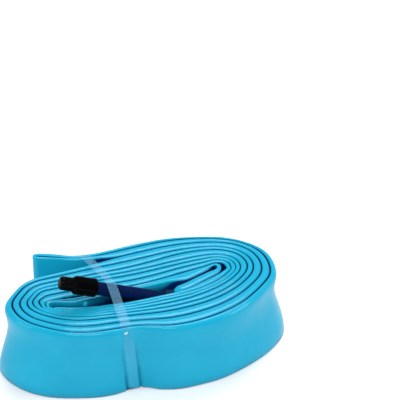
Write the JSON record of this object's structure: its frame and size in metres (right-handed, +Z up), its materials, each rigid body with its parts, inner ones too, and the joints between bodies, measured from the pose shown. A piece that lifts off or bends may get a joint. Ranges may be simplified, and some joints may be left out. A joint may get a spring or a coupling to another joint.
{
  "type": "rolled inner tube",
  "caption": "Flattened thermoplastic bicycle inner tube rolled up on edge, with its slim capped valve lying on top under a clear strap.",
  "frame": {"origin": "middle of the roll on its underside, in the innermost strand of the tube", "axes": "+Z up out of the roll along the tube's flat width, +X along the roll's length away from the capped end of the valve, +Y towards the side where the folded tail stands out"},
  "size_m": [0.1336, 0.0795, 0.0482],
  "materials": {
    "tube_film": "gloss",
    "foot_plastic": "satin",
    "stem_plastic": "satin",
    "cap_plastic": "satin",
    "brass": "satin",
    "seal_rubber": "matte",
    "strap_film": "gloss"
  },
  "bodies": {
    "roll": {"tube": "tube_film", "valve_foot": "foot_plastic", "valve_stem": "stem_plastic", "core_body": "brass", "core_seal": "seal_rubber", "strap": "strap_film"},
    "cap": {"dust_cap": "cap_plastic"},
    "nut": {"lock_nut": "brass"},
    "pin": {"core_pin": "brass", "pin_seal": "seal_rubber"}
  },
  "joints": [
    {"name": "cap_pull", "type": "slide", "parent": "roll", "child": "cap", "axis": [-0.9384, 0.0863, 0.3345], "range_m": [0, 0.03]},
    {"name": "nut_turn", "type": "hinge", "parent": "roll", "child": "nut", "pos_m": [-0.03167, -0.00505, 0.04319], "axis": [-0.9384, 0.0863, 0.3345], "range_deg": [0, 2160]},
    {"name": "pin_slide", "type": "slide", "parent": "roll", "child": "pin", "axis": [0.9384, -0.0863, -0.3345], "range_m": [0, 0.0024]}
  ],
  "couplings": [
    {"joint": "nut_turn", "follows": "pin_slide", "rad_per_m": 15708}
  ]
}
